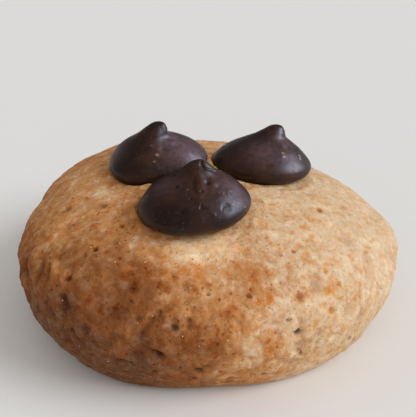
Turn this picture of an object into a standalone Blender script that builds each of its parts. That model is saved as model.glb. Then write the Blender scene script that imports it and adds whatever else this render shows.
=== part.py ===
"""A chocolate chip cookie: a thick domed cookie with three pointed chocolate chips set in its top.

Metres, +Z up. The origin is the middle of the flat underside, and -Y is the front.
"""

import math
import random

import bmesh
import bpy
from mathutils import Matrix, Vector, noise

MM = 0.001

# The cookie's body, in millimetres: a dome above its widest height, and a side tucked in below it.
COOKIE_RADIUS = 22.0
COOKIE_HEIGHT = 17.95
WIDEST_HEIGHT = 8.9
DOME_ROUNDNESS = 1.94  # exponent of the superellipse: 2 is an ellipse, more is fuller
SIDE_ROUNDNESS = 1.44
SIDE_SOFTNESS = 0.12  # rounds off the turn at the widest height
UNDERSIDE_SHARE = 0.80  # radius of the underside's rim, as a share of the cookie's
RESTING_SHARE = 0.76  # radius of the face that the cookie rests on, as a share of the cookie's
RESTING_CORNERS = 24
RIM_RISE = 0.2  # how far the underside's rim stands above the resting face
OVAL_SHARE, OVAL_TURN = 0.031, math.radians(-32)
TRIANGLE_SHARE, TRIANGLE_TURN = 0.041, math.radians(-9)
DROP_SHARE, DROP_TURN = 0.135, math.radians(11)  # the dome's shoulder is lower towards this azimuth

# Where the hand-shaped body swells or falls in: azimuth, latitude, then radius and rise in millimetres
SWELLS = (
    (89.0, 40.0, 6.5, -0.45),
    (134.0, 35.0, 4.0, -0.30),
    (169.0, 16.0, 4.5, -0.35),
    (-150.0, -17.0, 3.5, 0.30),
    (-123.0, -40.0, 4.0, 0.20),
    (-86.0, -42.0, 3.5, -0.25),
    (-57.0, -40.0, 6.0, 0.55),
    (-38.0, -35.0, 4.5, 0.40),
    (-25.0, -23.0, 4.0, 0.20),
)
SWELL_CENTRE = Vector((0.0, 0.0, 5.0))  # they push away from here

# The dough's relief, in millimetres
LUMPS = ((7.5, 0.34), (3.4, 0.22))  # size across, height
LUMP_SHIFT = Vector((8.4, 8.5, 3.1))
PIT_COUNT = 46
PIT_SMALLEST, PIT_LARGEST = 0.7, 1.5  # radius
PIT_DEPTH_SHARE = 0.42  # of its radius, for the deepest
PIT_SHALLOWEST = 0.4  # as a share of the deepest
PIT_LOWEST, PIT_HIGHEST = math.radians(-42), math.radians(68)  # latitudes
PIT_STEEPNESS, PIT_REACH = 1.6, 2.0
PIT_SEED = 11
# Deep marks that stand out: azimuth and latitude in degrees, radius and depth in millimetres
MARKS = (
    (-107.0, -8.0, 1.25, 0.55),
    (-118.0, -33.0, 1.3, 0.5),
    (-62.0, -12.0, 1.0, 0.6),
    (-170.0, -6.0, 1.4, 0.5),
    (-160.0, 2.0, 1.2, 0.4),
)
RELIEF_FADE_HEIGHT = 1.5  # the relief dies out below this height, so that the underside's rim stays even
FACE_CUTS = 24  # squares along each side of the cube that is blown up into the cookie
UNDERSIDE_LATITUDE = math.radians(-52)

# The chips' upright outline: share of height, then the shares of half width on a side with a neck below
# the tip and on a side that runs straight up to it
CHIP_OUTLINE = (
    (0.0, 0.72, 0.72),
    (0.05, 0.90, 0.90),
    (0.20, 1.0, 1.0),
    (0.35, 0.93, 0.95),
    (0.52, 0.72, 0.81),
    (0.66, 0.48, 0.64),
    (0.77, 0.27, 0.48),
    (0.88, 0.19, 0.31),
    (0.97, 0.12, 0.14),
    (1.0, 0.0, 0.0),
)
CHIP_RINGS_PER_SPAN = 2
CHIP_SIDES = 32
CHIP_SUNK = 0.75
CHIP_SEAT_GAP = 0.3
FULLEST = 1.3  # a ridge may stand out this much beyond a straight side
SHOULDER_TOP = 0.66  # share of the height at which the shoulder stands out most
SHOULDER_SPREAD = 0.16
SHOULDER_FADE_WIDTH = 0.15  # share of half width below which the tip keeps no shoulder
FACING_SHARPNESS = 1.5
DENT_SHARPNESS = 7
LEAN_START = 0.35  # share of the height from which the chip leans
TIP_START, TIP_FULL = 0.55, 0.80  # shares of the height between which the tip gets its own width
# Each chip's place and sizes are in millimetres, its directions in degrees. Fill says how straight the
# sides run up to the tip, and the ridge adds to it on one side. The dent is where two soft chips were
# pressed close together.
CHIPS = {
    "chip_front": {
        "place": (-0.54, -8.55), "width": 12.1, "height": 6.05, "tip": 0.85,
        "tilt": 13.1, "tilt_to": 106.0, "lean": 1.0, "lean_to": 43.0,
        "fill": 0.55, "ridge": 0.12, "ridge_to": 16.0,
        "shoulder": 0.11, "shoulder_to": 180.0, "dent": 0.15, "dent_to": 114.0,
    },
    "chip_left": {
        "place": (-4.87, 1.15), "width": 11.5, "height": 5.95, "tip": 0.96,
        "tilt": 2.7, "tilt_to": -41.0, "lean": 0.38, "lean_to": 13.0,
        "fill": 0.0, "ridge": 0.97, "ridge_to": 204.0,
        "shoulder": -0.085, "shoulder_to": 0.0, "dent": 0.17, "dent_to": -66.0,
    },
    "chip_right": {
        "place": (7.25, 2.47), "width": 11.75, "height": 5.85, "tip": 0.93,
        "tilt": 7.9, "tilt_to": 131.0, "lean": 1.55, "lean_to": 22.0,
        "fill": 0.18, "ridge": 0.52, "ridge_to": 171.0,
        "shoulder": -0.025, "shoulder_to": 0.0, "dent": 0.0, "dent_to": 0.0,
    },
}

DOUGH_COLOUR = (0.60, 0.33, 0.14, 1.0)
DOUGH_ROUGHNESS = 0.75
CHOCOLATE_COLOUR = (0.035, 0.016, 0.012, 1.0)
CHOCOLATE_ROUGHNESS = 0.4


def clear_scene():
    for old in list(bpy.data.objects):
        bpy.data.objects.remove(old)


def make_material(name, colour, roughness):
    material = bpy.data.materials.new(name)
    material.use_nodes = True
    shader = material.node_tree.nodes["Principled BSDF"]
    shader.inputs["Base Color"].default_value = colour
    shader.inputs["Roughness"].default_value = roughness
    shader.inputs["Metallic"].default_value = 0.0
    material.diffuse_color = colour
    return material


def plan_radius(azimuth):
    """The cookie's half width towards an azimuth, at its widest height."""
    oval = OVAL_SHARE * math.cos(2 * (azimuth - OVAL_TURN))
    triangle = TRIANGLE_SHARE * math.cos(3 * (azimuth - TRIANGLE_TURN))
    return COOKIE_RADIUS * (1 + oval + triangle)


def dome_point(azimuth, share):
    """The bare dome's point at an azimuth and at a share of the way out from the middle."""
    out = plan_radius(azimuth) * share
    rise = (1 - share**DOME_ROUNDNESS) ** (1 / DOME_ROUNDNESS)
    rise *= 1 - DROP_SHARE * math.cos(azimuth - DROP_TURN) * share
    height = WIDEST_HEIGHT + (COOKIE_HEIGHT - WIDEST_HEIGHT) * rise
    return Vector((out * math.cos(azimuth), out * math.sin(azimuth), height))


def bare_point(direction):
    """Where a direction from the cookie's middle meets its bare body, without relief."""
    azimuth = math.atan2(direction.y, direction.x)
    latitude = math.asin(max(-1.0, min(1.0, direction.z)))
    if latitude >= 0:
        return dome_point(azimuth, math.cos(latitude) ** (2 / DOME_ROUNDNESS))
    radius = plan_radius(azimuth)
    if latitude > UNDERSIDE_LATITUDE:
        drop = math.sin(latitude / UNDERSIDE_LATITUDE * math.pi / 2) ** (2 / SIDE_ROUNDNESS)
        soft_drop = math.hypot(drop, SIDE_SOFTNESS) - SIDE_SOFTNESS
        soft_drop /= math.hypot(1, SIDE_SOFTNESS) - SIDE_SOFTNESS
        swell = max(0.0, 1 - soft_drop**SIDE_ROUNDNESS) ** (1 / SIDE_ROUNDNESS)
        out = radius * (UNDERSIDE_SHARE + (1 - UNDERSIDE_SHARE) * swell)
        height = WIDEST_HEIGHT * (1 - drop)
    else:
        share = (latitude + math.pi / 2) / (UNDERSIDE_LATITUDE + math.pi / 2)
        out = radius * UNDERSIDE_SHARE * share
        height = 0.0
    return Vector((out * math.cos(azimuth), out * math.sin(azimuth), height))


def outward(point):
    """Roughly the surface's normal at a point of the bare body."""
    reach = COOKIE_HEIGHT - WIDEST_HEIGHT if point.z > WIDEST_HEIGHT else WIDEST_HEIGHT
    return Vector(
        (point.x / COOKIE_RADIUS**2, point.y / COOKIE_RADIUS**2, (point.z - WIDEST_HEIGHT) / reach**2)
    ).normalized()


def direction_of(azimuth, latitude):
    return Vector(
        (
            math.cos(latitude) * math.cos(azimuth),
            math.cos(latitude) * math.sin(azimuth),
            math.sin(latitude),
        )
    )


def make_pits():
    """The pits in the crust, as (middle, radius, depth): those that stand out, then a seeded scatter."""
    pits = [
        (bare_point(direction_of(math.radians(azimuth), math.radians(latitude))), radius, depth)
        for azimuth, latitude, radius, depth in MARKS
    ]
    draw = random.Random(PIT_SEED)
    for _ in range(PIT_COUNT):
        azimuth = draw.uniform(-math.pi, math.pi)
        latitude = math.asin(draw.uniform(math.sin(PIT_LOWEST), math.sin(PIT_HIGHEST)))
        radius = PIT_SMALLEST + (PIT_LARGEST - PIT_SMALLEST) * draw.random() ** 2
        middle = bare_point(direction_of(azimuth, latitude))
        depth = radius * PIT_DEPTH_SHARE * draw.uniform(PIT_SHALLOWEST, 1.0)
        pits.append((middle, radius, depth))
    return pits


def swell(point, swells):
    """How far the body swells out at a point, or falls in, in millimetres."""
    return sum(rise * math.exp(-(((point - middle).length / radius) ** 2)) for middle, radius, rise in swells)


def relief(point, pits):
    """How far the crust stands out from the bare body at a point, in millimetres."""
    out = sum(height * noise.noise(point / size + LUMP_SHIFT * size) for size, height in LUMPS)
    for middle, radius, depth in pits:
        away = (point - middle).length / radius
        if away < PIT_REACH:
            out -= depth * math.exp(-PIT_STEEPNESS * away**2)
    return out


def close_underside(mesh):
    """Cuts the body off at the underside's rim, and closes it with the even face that it rests on."""
    geometry = mesh.verts[:] + mesh.edges[:] + mesh.faces[:]
    bmesh.ops.bisect_plane(
        mesh, geom=geometry, plane_co=(0, 0, RIM_RISE * MM), plane_no=(0, 0, 1), clear_inner=True
    )
    rim = [edge for edge in mesh.edges if edge.is_boundary]
    corners = []
    for index in range(RESTING_CORNERS):
        azimuth = 2 * math.pi * index / RESTING_CORNERS
        radius = RESTING_SHARE * plan_radius(azimuth) * MM
        corners.append(mesh.verts.new((radius * math.cos(azimuth), radius * math.sin(azimuth), 0)))
    resting = mesh.faces.new(corners)
    bmesh.ops.bridge_loops(mesh, edges=rim + resting.edges[:])
    bmesh.ops.poke(mesh, faces=[resting])


def make_cookie(material):
    """The body: a cube cut into squares, blown up to the cookie's form and given the crust's relief."""
    mesh = bmesh.new()
    bmesh.ops.create_cube(mesh, size=2.0)
    bmesh.ops.subdivide_edges(
        mesh, edges=mesh.edges[:], cuts=FACE_CUTS - 1, use_grid_fill=True
    )
    swells = [
        (bare_point(direction_of(math.radians(azimuth), math.radians(latitude))), radius, rise)
        for azimuth, latitude, radius, rise in SWELLS
    ]
    pits = make_pits()
    for vertex in mesh.verts:
        even = Vector([math.tan(c * math.pi / 4) for c in vertex.co])
        bare = bare_point(even.normalized())
        point = bare + (bare - SWELL_CENTRE).normalized() * swell(bare, swells)
        if bare.z > 0:
            fade = min(1.0, bare.z / RELIEF_FADE_HEIGHT)
            point += outward(bare) * relief(bare, pits) * fade
        vertex.co = point * MM
    close_underside(mesh)
    return add_object("cookie", mesh, material)


def smooth_path(points, steps):
    """A Catmull-Rom curve through the points, with so many steps in each span."""
    ends = [points[0], *points, points[-1]]
    path = []
    for before, start, stop, after in zip(ends, ends[1:], ends[2:], ends[3:]):
        for step in range(steps):
            t = step / steps
            path.append(
                tuple(
                    0.5
                    * (
                        2 * b
                        + (c - a) * t
                        + (2 * a - 5 * b + 4 * c - d) * t**2
                        + (3 * b - a - 3 * c + d) * t**3
                    )
                    for a, b, c, d in zip(before, start, stop, after)
                )
            )
    return [*path, points[-1]]


def smooth_step(value):
    value = max(0.0, min(1.0, value))
    return value * value * (3 - 2 * value)


def facing(angle, towards):
    """One where an angle points towards the direction in degrees, fading to zero opposite."""
    return (0.5 + 0.5 * math.cos(angle - math.radians(towards))) ** FACING_SHARPNESS


def chip_reach(chip, up, necked, full, angle):
    """The chip's half width at a share of its height and towards an angle, in millimetres."""
    fill = chip["fill"] + chip["ridge"] * facing(angle, chip["ridge_to"])
    out = necked + (full - necked) * min(FULLEST, fill)
    shoulder = chip["shoulder"] * math.exp(-(((up - SHOULDER_TOP) / SHOULDER_SPREAD) ** 2))
    out += shoulder * facing(angle, chip["shoulder_to"]) * min(1.0, out / SHOULDER_FADE_WIDTH)
    dent = chip["dent"] * facing(angle, chip["dent_to"]) ** DENT_SHARPNESS
    slim = 1 - (1 - chip["tip"]) * smooth_step((up - TIP_START) / (TIP_FULL - TIP_START))
    return chip["width"] / 2 * out * slim * (1 - dent)


def chip_rings(chip, grow):
    """The chip's rings from base to tip: their middles in its own frame, and their outline shares."""
    lean_to = math.radians(chip["lean_to"])
    rings = []
    for up, *widths in smooth_path(CHIP_OUTLINE, CHIP_RINGS_PER_SPAN):
        lean = chip["lean"] * smooth_step((up - LEAN_START) / (1 - LEAN_START))
        height = up * chip["height"] + grow * (2 * up - 1)
        rings.append((Vector((lean * math.cos(lean_to), lean * math.sin(lean_to), height)), up, *widths))
    return rings


def chip_matrix(chip):
    """Where the chip stands: on the dome's slope, tilted by its own tilt, and sunk into the dough."""
    x, y = chip["place"]
    azimuth = math.atan2(y, x)
    surface = dome_point(azimuth, math.hypot(x, y) / plan_radius(azimuth))
    tilt_to = math.radians(chip["tilt_to"])
    tip = outward(surface) + math.tan(math.radians(chip["tilt"])) * Vector(
        (math.cos(tilt_to), math.sin(tilt_to), 0)
    )
    turn = Vector((0, 0, 1)).rotation_difference(tip.normalized())
    base = surface - tip.normalized() * CHIP_SUNK
    return Matrix.LocRotScale(base * MM, turn, None)


def make_chip(name, chip, material, grow=0.0):
    """One chip as stacked rings with a flat base and a rounded, leaning tip. Grow makes it larger."""
    mesh = bmesh.new()
    rings = chip_rings(chip, grow)
    loops = []
    for middle, up, necked, full in rings[:-1]:
        loop = []
        for side in range(CHIP_SIDES):
            angle = 2 * math.pi * side / CHIP_SIDES
            reach = chip_reach(chip, up, necked, full, angle) + grow
            spot = middle + Vector((reach * math.cos(angle), reach * math.sin(angle), 0))
            loop.append(mesh.verts.new(spot * MM))
        loops.append(loop)
    tip = mesh.verts.new(rings[-1][0] * MM)
    mesh.faces.new(reversed(loops[0]))
    for lower, upper in zip(loops, loops[1:]):
        for side in range(CHIP_SIDES):
            after = (side + 1) % CHIP_SIDES
            mesh.faces.new((lower[side], lower[after], upper[after], upper[side]))
    for side in range(CHIP_SIDES):
        mesh.faces.new((loops[-1][side], loops[-1][(side + 1) % CHIP_SIDES], tip))
    made = add_object(name, mesh, material)
    made.matrix_world = chip_matrix(chip)
    return made


def add_object(name, mesh, material):
    bmesh.ops.recalc_face_normals(mesh, faces=mesh.faces[:])
    data = bpy.data.meshes.new(name)
    mesh.to_mesh(data)
    mesh.free()
    data.materials.append(material)
    data.shade_smooth()
    made = bpy.data.objects.new(name, data)
    bpy.context.scene.collection.objects.link(made)
    return made


def cut_seat(cookie, name, chip, material):
    """A seat in the cookie for one chip, a little larger than the chip all round."""
    cutter = make_chip(name + "_seat", chip, material, grow=CHIP_SEAT_GAP)
    cutter.hide_render = True
    cutter.display_type = "WIRE"
    cut = cookie.modifiers.new(name + "_seat", "BOOLEAN")
    cut.operation = "DIFFERENCE"
    cut.solver = "EXACT"
    cut.object = cutter


def main():
    clear_scene()
    dough = make_material("dough", DOUGH_COLOUR, DOUGH_ROUGHNESS)
    chocolate = make_material("chocolate", CHOCOLATE_COLOUR, CHOCOLATE_ROUGHNESS)
    cookie = make_cookie(dough)
    for name, chip in CHIPS.items():
        make_chip(name, chip, chocolate)
        cut_seat(cookie, name, chip, chocolate)


main()
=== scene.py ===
import math
import random

import bmesh
import bpy
import numpy as np
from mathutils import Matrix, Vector, noise
from mathutils.bvhtree import BVHTree


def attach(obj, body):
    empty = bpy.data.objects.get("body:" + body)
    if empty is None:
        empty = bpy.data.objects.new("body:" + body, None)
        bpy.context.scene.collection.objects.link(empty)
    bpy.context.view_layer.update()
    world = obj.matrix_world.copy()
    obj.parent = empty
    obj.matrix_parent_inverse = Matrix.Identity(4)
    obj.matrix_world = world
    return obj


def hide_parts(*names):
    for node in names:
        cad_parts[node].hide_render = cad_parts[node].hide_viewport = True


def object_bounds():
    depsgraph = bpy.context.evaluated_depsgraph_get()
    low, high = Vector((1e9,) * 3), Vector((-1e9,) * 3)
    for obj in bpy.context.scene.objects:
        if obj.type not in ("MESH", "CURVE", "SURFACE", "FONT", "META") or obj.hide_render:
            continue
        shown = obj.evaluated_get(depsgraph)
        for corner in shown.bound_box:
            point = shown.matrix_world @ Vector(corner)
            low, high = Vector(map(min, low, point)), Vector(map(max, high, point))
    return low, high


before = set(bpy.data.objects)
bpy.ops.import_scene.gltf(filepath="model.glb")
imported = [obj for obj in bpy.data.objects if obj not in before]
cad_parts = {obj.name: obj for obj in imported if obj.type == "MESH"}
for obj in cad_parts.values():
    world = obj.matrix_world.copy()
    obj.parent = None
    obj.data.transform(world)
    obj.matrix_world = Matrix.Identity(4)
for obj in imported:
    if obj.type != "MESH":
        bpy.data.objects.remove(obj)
cad_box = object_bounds()

MM = 0.001

# The photograph's frame, in pixels, and the camera that looks at the cookie as it does, in millimetres.
# The camera and most of the body's values are fitted to the photo's outline by scratch programs
PHOTO_WIDTH, PHOTO_HEIGHT = 416, 417
SENSOR_WIDTH = 36.0
CAMERA_TARGET = Vector((0.9, 0.0, 12.6))
CAMERA_DISTANCE = 92.0
CAMERA_ELEVATION = math.radians(28.5)
FOCAL_PIXELS = 772.0
COOKIE_MIDDLE_PIXEL = (208, 262)

# The cookie's body, in millimetres, as in its solid: a dome, and a side tucked in below the widest height
COOKIE_RADIUS = 22.0
COOKIE_HEIGHT = 17.95
WIDEST_HEIGHT = 8.9
DOME_ROUNDNESS = 1.94
SIDE_ROUNDNESS = 1.44
SIDE_SOFTNESS = 0.12
UNDERSIDE_SHARE = 0.80
RESTING_SHARE = 0.76
RIM_RISE = 0.2
OVAL_SHARE, OVAL_TURN = 0.031, math.radians(-32)
TRIANGLE_SHARE, TRIANGLE_TURN = 0.041, math.radians(-9)
DROP_SHARE, DROP_TURN = 0.135, math.radians(11)
UNDERSIDE_LATITUDE = math.radians(-52)
FINE_UNDERSIDE_LATITUDE = math.radians(-64)  # leaves more of the fine mesh for the sides
FINE_FACE_CUTS = 128
FRONT_CROWDING = 0.22  # draws the fine mesh's points towards the front

# Where the hand-shaped body swells or falls in: azimuth, latitude, then radius and rise in millimetres
SWELLS = (
    (89.0, 40.0, 6.5, -0.45),
    (134.0, 35.0, 4.0, -0.30),
    (169.0, 16.0, 4.5, -0.35),
    (-150.0, -17.0, 3.5, 0.30),
    (-123.0, -40.0, 4.0, 0.20),
    (-86.0, -42.0, 3.5, -0.25),
    (-57.0, -40.0, 6.0, 0.55),
    (-38.0, -35.0, 4.5, 0.40),
    (-25.0, -23.0, 4.0, 0.20),
)
SWELL_CENTRE = np.array((0.0, 0.0, 5.0))  # they push away from here

# The lumps and pits of the solid, in millimetres
LUMPS = ((7.5, 0.34), (3.4, 0.22))  # size across, height
LUMP_SHIFT = Vector((8.4, 8.5, 3.1))  # the best of 36 tried, by how the outline follows the photo
PIT_COUNT = 46
PIT_SMALLEST, PIT_LARGEST = 0.7, 1.5
PIT_DEPTH_SHARE = 0.42
PIT_SHALLOWEST = 0.4
PIT_LOWEST, PIT_HIGHEST = math.radians(-42), math.radians(68)
PIT_STEEPNESS, PIT_REACH = 1.6, 2.0
PIT_SEED = 11
MARKS = (
    (-107.0, -8.0, 1.25, 0.55),
    (-118.0, -33.0, 1.3, 0.5),
    (-62.0, -12.0, 1.0, 0.6),
    (-170.0, -6.0, 1.4, 0.5),
    (-160.0, 2.0, 1.2, 0.4),
)
RELIEF_FADE_HEIGHT = 1.5

# The chips' upright outline: share of height, then the shares of half width on a side with a neck below
# the tip and on a side that runs straight up to it
CHIP_OUTLINE = (
    (0.0, 0.72, 0.72),
    (0.05, 0.90, 0.90),
    (0.20, 1.0, 1.0),
    (0.35, 0.93, 0.95),
    (0.52, 0.72, 0.81),
    (0.66, 0.48, 0.64),
    (0.77, 0.27, 0.48),
    (0.88, 0.19, 0.31),
    (0.97, 0.12, 0.14),
    (1.0, 0.0, 0.0),
)
CHIP_SUNK = 0.75
CHIP_WIDEST = 0.2  # share of its height
FULLEST = 1.3  # a ridge may stand out this much beyond a straight side
SHOULDER_TOP = 0.66  # share of the height at which the shoulder stands out most
SHOULDER_SPREAD = 0.16
SHOULDER_FADE_WIDTH = 0.15  # share of half width below which the tip keeps no shoulder
FACING_SHARPNESS = 1.5
DENT_SHARPNESS = 7
LEAN_START = 0.35  # share of the height from which the chip leans
TIP_START, TIP_FULL = 0.55, 0.80  # shares of the height between which the tip gets its own width
# Each chip's place and sizes are in millimetres, its directions in degrees. Fill says how straight the
# sides run up to the tip, and the ridge adds to it on one side. The dent is where two soft chips were
# pressed close together. Thirteen of each chip's sixteen numbers are scratch programs' fits to its
# outline in the photo, rounded or nudged by hand.
CHIPS = {
    "chip_front": {
        "place": (-0.54, -8.55), "width": 12.1, "height": 6.05, "tip": 0.85,
        "tilt": 13.1, "tilt_to": 106.0, "lean": 1.0, "lean_to": 43.0,
        "fill": 0.55, "ridge": 0.12, "ridge_to": 16.0,
        "shoulder": 0.11, "shoulder_to": 180.0, "dent": 0.15, "dent_to": 114.0,
    },
    "chip_left": {
        "place": (-4.87, 1.15), "width": 11.5, "height": 5.95, "tip": 0.96,
        "tilt": 2.7, "tilt_to": -41.0, "lean": 0.38, "lean_to": 13.0,
        "fill": 0.0, "ridge": 0.97, "ridge_to": 204.0,
        "shoulder": -0.085, "shoulder_to": 0.0, "dent": 0.17, "dent_to": -66.0,
    },
    "chip_right": {
        "place": (7.25, 2.47), "width": 11.75, "height": 5.85, "tip": 0.93,
        "tilt": 7.9, "tilt_to": 131.0, "lean": 1.55, "lean_to": 22.0,
        "fill": 0.18, "ridge": 0.52, "ridge_to": 171.0,
        "shoulder": -0.025, "shoulder_to": 0.0, "dent": 0.0, "dent_to": 0.0,
    },
}
FINE_RINGS_PER_SPAN = 14
FINE_SIDES = 340
SEAT_GAP = 0.08
LIP_HEIGHT, LIP_WIDTH = 0.27, 0.75
BACK_LIP_SHARE = 0.15

# Marks on the dough by their pixel in the photograph, then sizes in millimetres.
# Holes and dents: x, y, half width, depth
HOLES = (
    (298.6, 333.4, 0.44, 0.75), (319.8, 209.8, 0.46, 0.22), (299.9, 297.8, 0.46, 0.16),
    (294, 251.3, 0.32, 0.2), (332.2, 310.7, 0.42, 0.22), (174.6, 328, 0.48, 0.36),
    (159.5, 311.4, 0.3, 0.26), (160, 317, 0.55, 0.22), (159.5, 357.2, 0.48, 0.5),
    (155, 352.5, 0.34, 0.28), (154.5, 372.1, 0.36, 0.45), (131.2, 362.6, 0.36, 0.35),
    (126.2, 367.1, 0.5, 0.25), (199, 371.4, 0.55, 0.35), (193, 378.8, 0.34, 0.3),
    (197.2, 382, 0.55, 0.45), (231.2, 378.8, 0.45, 0.5), (263.5, 375.5, 0.36, 0.4),
    (253.5, 375.6, 0.34, 0.22), (350, 339.5, 0.36, 0.4), (299, 351.3, 0.32, 0.26),
    (301.1, 355, 0.32, 0.3), (287.9, 320.6, 0.28, 0.22), (63.2, 297.5, 0.5, 0.3),
    (65.7, 305.8, 0.6, 0.25), (68, 278, 0.45, 0.3), (71.9, 331, 0.36, 0.32), (84.7, 329.8, 0.55, 0.22),
    (94.8, 248.8, 0.36, 0.35), (186.4, 302.5, 0.34, 0.2), (188.9, 320.2, 0.36, 0.28),
    (189.3, 327.4, 0.45, 0.2), (137.8, 319, 0.4, 0.22), (251.4, 289.7, 0.36, 0.2),
    (248.9, 295.5, 0.34, 0.25), (67.5, 208.8, 0.5, 0.18), (103.1, 205.5, 0.5, 0.18),
    (121.4, 225.4, 0.38, 0.24), (316.5, 323.1, 0.4, 0.12), (189.3, 351.8, 0.34, 0.18),
)
# Folds and cracks: a line of pixels, half width, depth; a ridge has its depth below zero
FOLDS = (
    (((137.8, 338.1), (143.6, 330.6), (147.7, 324.8), (152.7, 318.2), (159.4, 310.7)), 0.34, 0.42),
    (((134, 334), (140, 326.5), (146, 318.5), (153, 311)), 0.34, -0.16),
    (((42.4, 257), (41.8, 269.6), (36.6, 284)), 0.5, 0.5),
    (((26, 254), (25.5, 267), (29, 282)), 0.6, 0.45), (((31, 249), (31.6, 265), (34, 280)), 0.42, -0.22),
    (((47.5, 260), (43.5, 273), (39.5, 286)), 0.4, -0.24),
    (((54.5, 259), (52, 272), (50, 282)), 0.36, -0.2), (((50, 262), (47.8, 276), (44, 288)), 0.34, 0.3),
    (((60, 256), (58, 268), (57, 280)), 0.4, 0.24),
    (((165, 330.5), (163, 323.5), (167, 318.5), (174, 317.5)), 0.26, -0.17),
    (((174, 317.5), (180, 321), (181, 328), (177, 334), (170, 335)), 0.26, -0.15),
    (((67.7, 337.3), (70.6, 344)), 0.4, 0.3), (((93, 340), (95.5, 347)), 0.36, 0.26),
    (((76, 351), (84, 355)), 0.34, 0.24), (((113.7, 334), (122.9, 339.8)), 0.42, 0.28),
    (((149, 349), (156, 355), (164, 360)), 0.34, 0.3),
    (((206.3, 368.8), (211.3, 370), (223, 373)), 0.3, 0.32), (((219, 367.6), (227.5, 368.4)), 0.28, 0.2),
    (((219, 381.5), (231, 379), (236, 378)), 0.32, 0.28),
    (((248, 374.6), (256, 376.3), (264, 375.5)), 0.28, 0.24),
    (((190, 377), (196, 382), (205, 384)), 0.4, 0.3),
    (((363, 240), (366.5, 256), (368, 275), (364, 296)), 0.5, 0.3),
    (((370.4, 248), (374, 262), (375, 280), (371, 304)), 0.5, -0.13),
    (((378.5, 250), (380.5, 268), (379, 286), (374, 300)), 0.46, 0.24),
    (((385, 256), (386, 272), (383, 290)), 0.44, -0.12), (((354, 262), (356, 284), (352, 306)), 0.5, 0.2),
    (((366, 300), (360, 318), (350, 334)), 0.44, 0.28), (((347, 300), (346, 320), (340, 338)), 0.5, -0.2),
)

# Patches of the crust: x, y, half width, strength. Honey is where sugar browned it, blush is redder and
# darker, grey is a dull stain, and flour is whitish
HONEY = (
    (303.2, 227.2, 0.45, 1), (293.3, 231.8, 0.36, 0.7), (312.3, 236.3, 0.46, 0.9),
    (339.7, 239.7, 0.4, 0.9), (307.4, 254.6, 0.46, 1), (317.3, 250.4, 0.38, 0.8),
    (288.3, 265.4, 0.46, 0.6), (325.8, 264.8, 0.36, 1.2), (325.9, 268.6, 0.36, 1.2),
    (314, 219.2, 0.4, 0.9), (319, 220.8, 0.36, 0.9), (367, 251.3, 0.36, 0.7), (305.3, 188.2, 0.45, 0.6),
    (309, 187.6, 0.36, 0.5), (364.6, 263, 0.36, 0.8), (364.8, 267, 0.36, 0.7), (331, 289.4, 0.7, 0.9),
    (346.3, 290.8, 0.5, 0.6), (334.7, 319, 0.62, 0.5), (329.6, 334.5, 0.56, 0.8),
    (332.2, 310.7, 0.42, 1.4), (316.5, 323.1, 0.46, 0.8), (283.3, 369.5, 0.95, 0.6),
    (315.6, 356.3, 0.7, 0.7), (331.4, 350.5, 0.5, 0.6), (269, 351, 0.75, 1), (266.5, 342.5, 0.46, 0.8),
    (274, 358, 0.6, 0.7), (247.3, 248.7, 0.34, 0.9), (236.9, 266, 0.4, 1.2), (273, 274.8, 0.38, 0.8),
    (253, 272, 0.62, 0.8), (253.5, 280, 0.7, 0.9), (268.8, 300.5, 0.55, 1.1), (259.7, 302.5, 0.55, 0.9),
    (262, 307.5, 0.6, 0.6), (225, 297, 0.6, 0.5), (299.9, 245.5, 0.5, 0.8), (290, 240, 0.55, 0.4),
    (275, 262, 0.6, 0.3), (201, 266, 0.75, 0.7), (199, 276, 0.75, 0.8), (184, 272, 0.65, 0.8),
    (190, 262, 0.45, 0.6), (212, 258, 0.45, 0.6), (225, 262, 0.5, 0.4), (207, 250, 0.3, 0.5),
    (174, 262, 0.55, 0.5), (156, 237.5, 0.5, 0.8), (160, 256, 0.6, 0.4), (130, 270, 1.2, 0.6),
    (147, 268, 1, 0.6), (163, 272, 0.5, 0.8), (132, 206, 1.1, 0.5), (118, 262, 0.8, 0.5),
    (50.7, 237.2, 0.55, 0.9), (62, 236, 0.8, 0.3), (92, 238, 0.8, 0.3), (104.6, 354.7, 0.8, 0.5),
    (217, 354.7, 0.6, 0.6), (211.3, 344.8, 0.9, 0.6), (210, 312, 0.6, 0.5), (195, 312, 0.7, 0.4),
    (176, 300, 0.9, 0.4), (352, 276, 0.45, 0.4), (340, 262, 0.45, 0.4), (389.8, 274.5, 0.5, 0.6),
)
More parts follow.
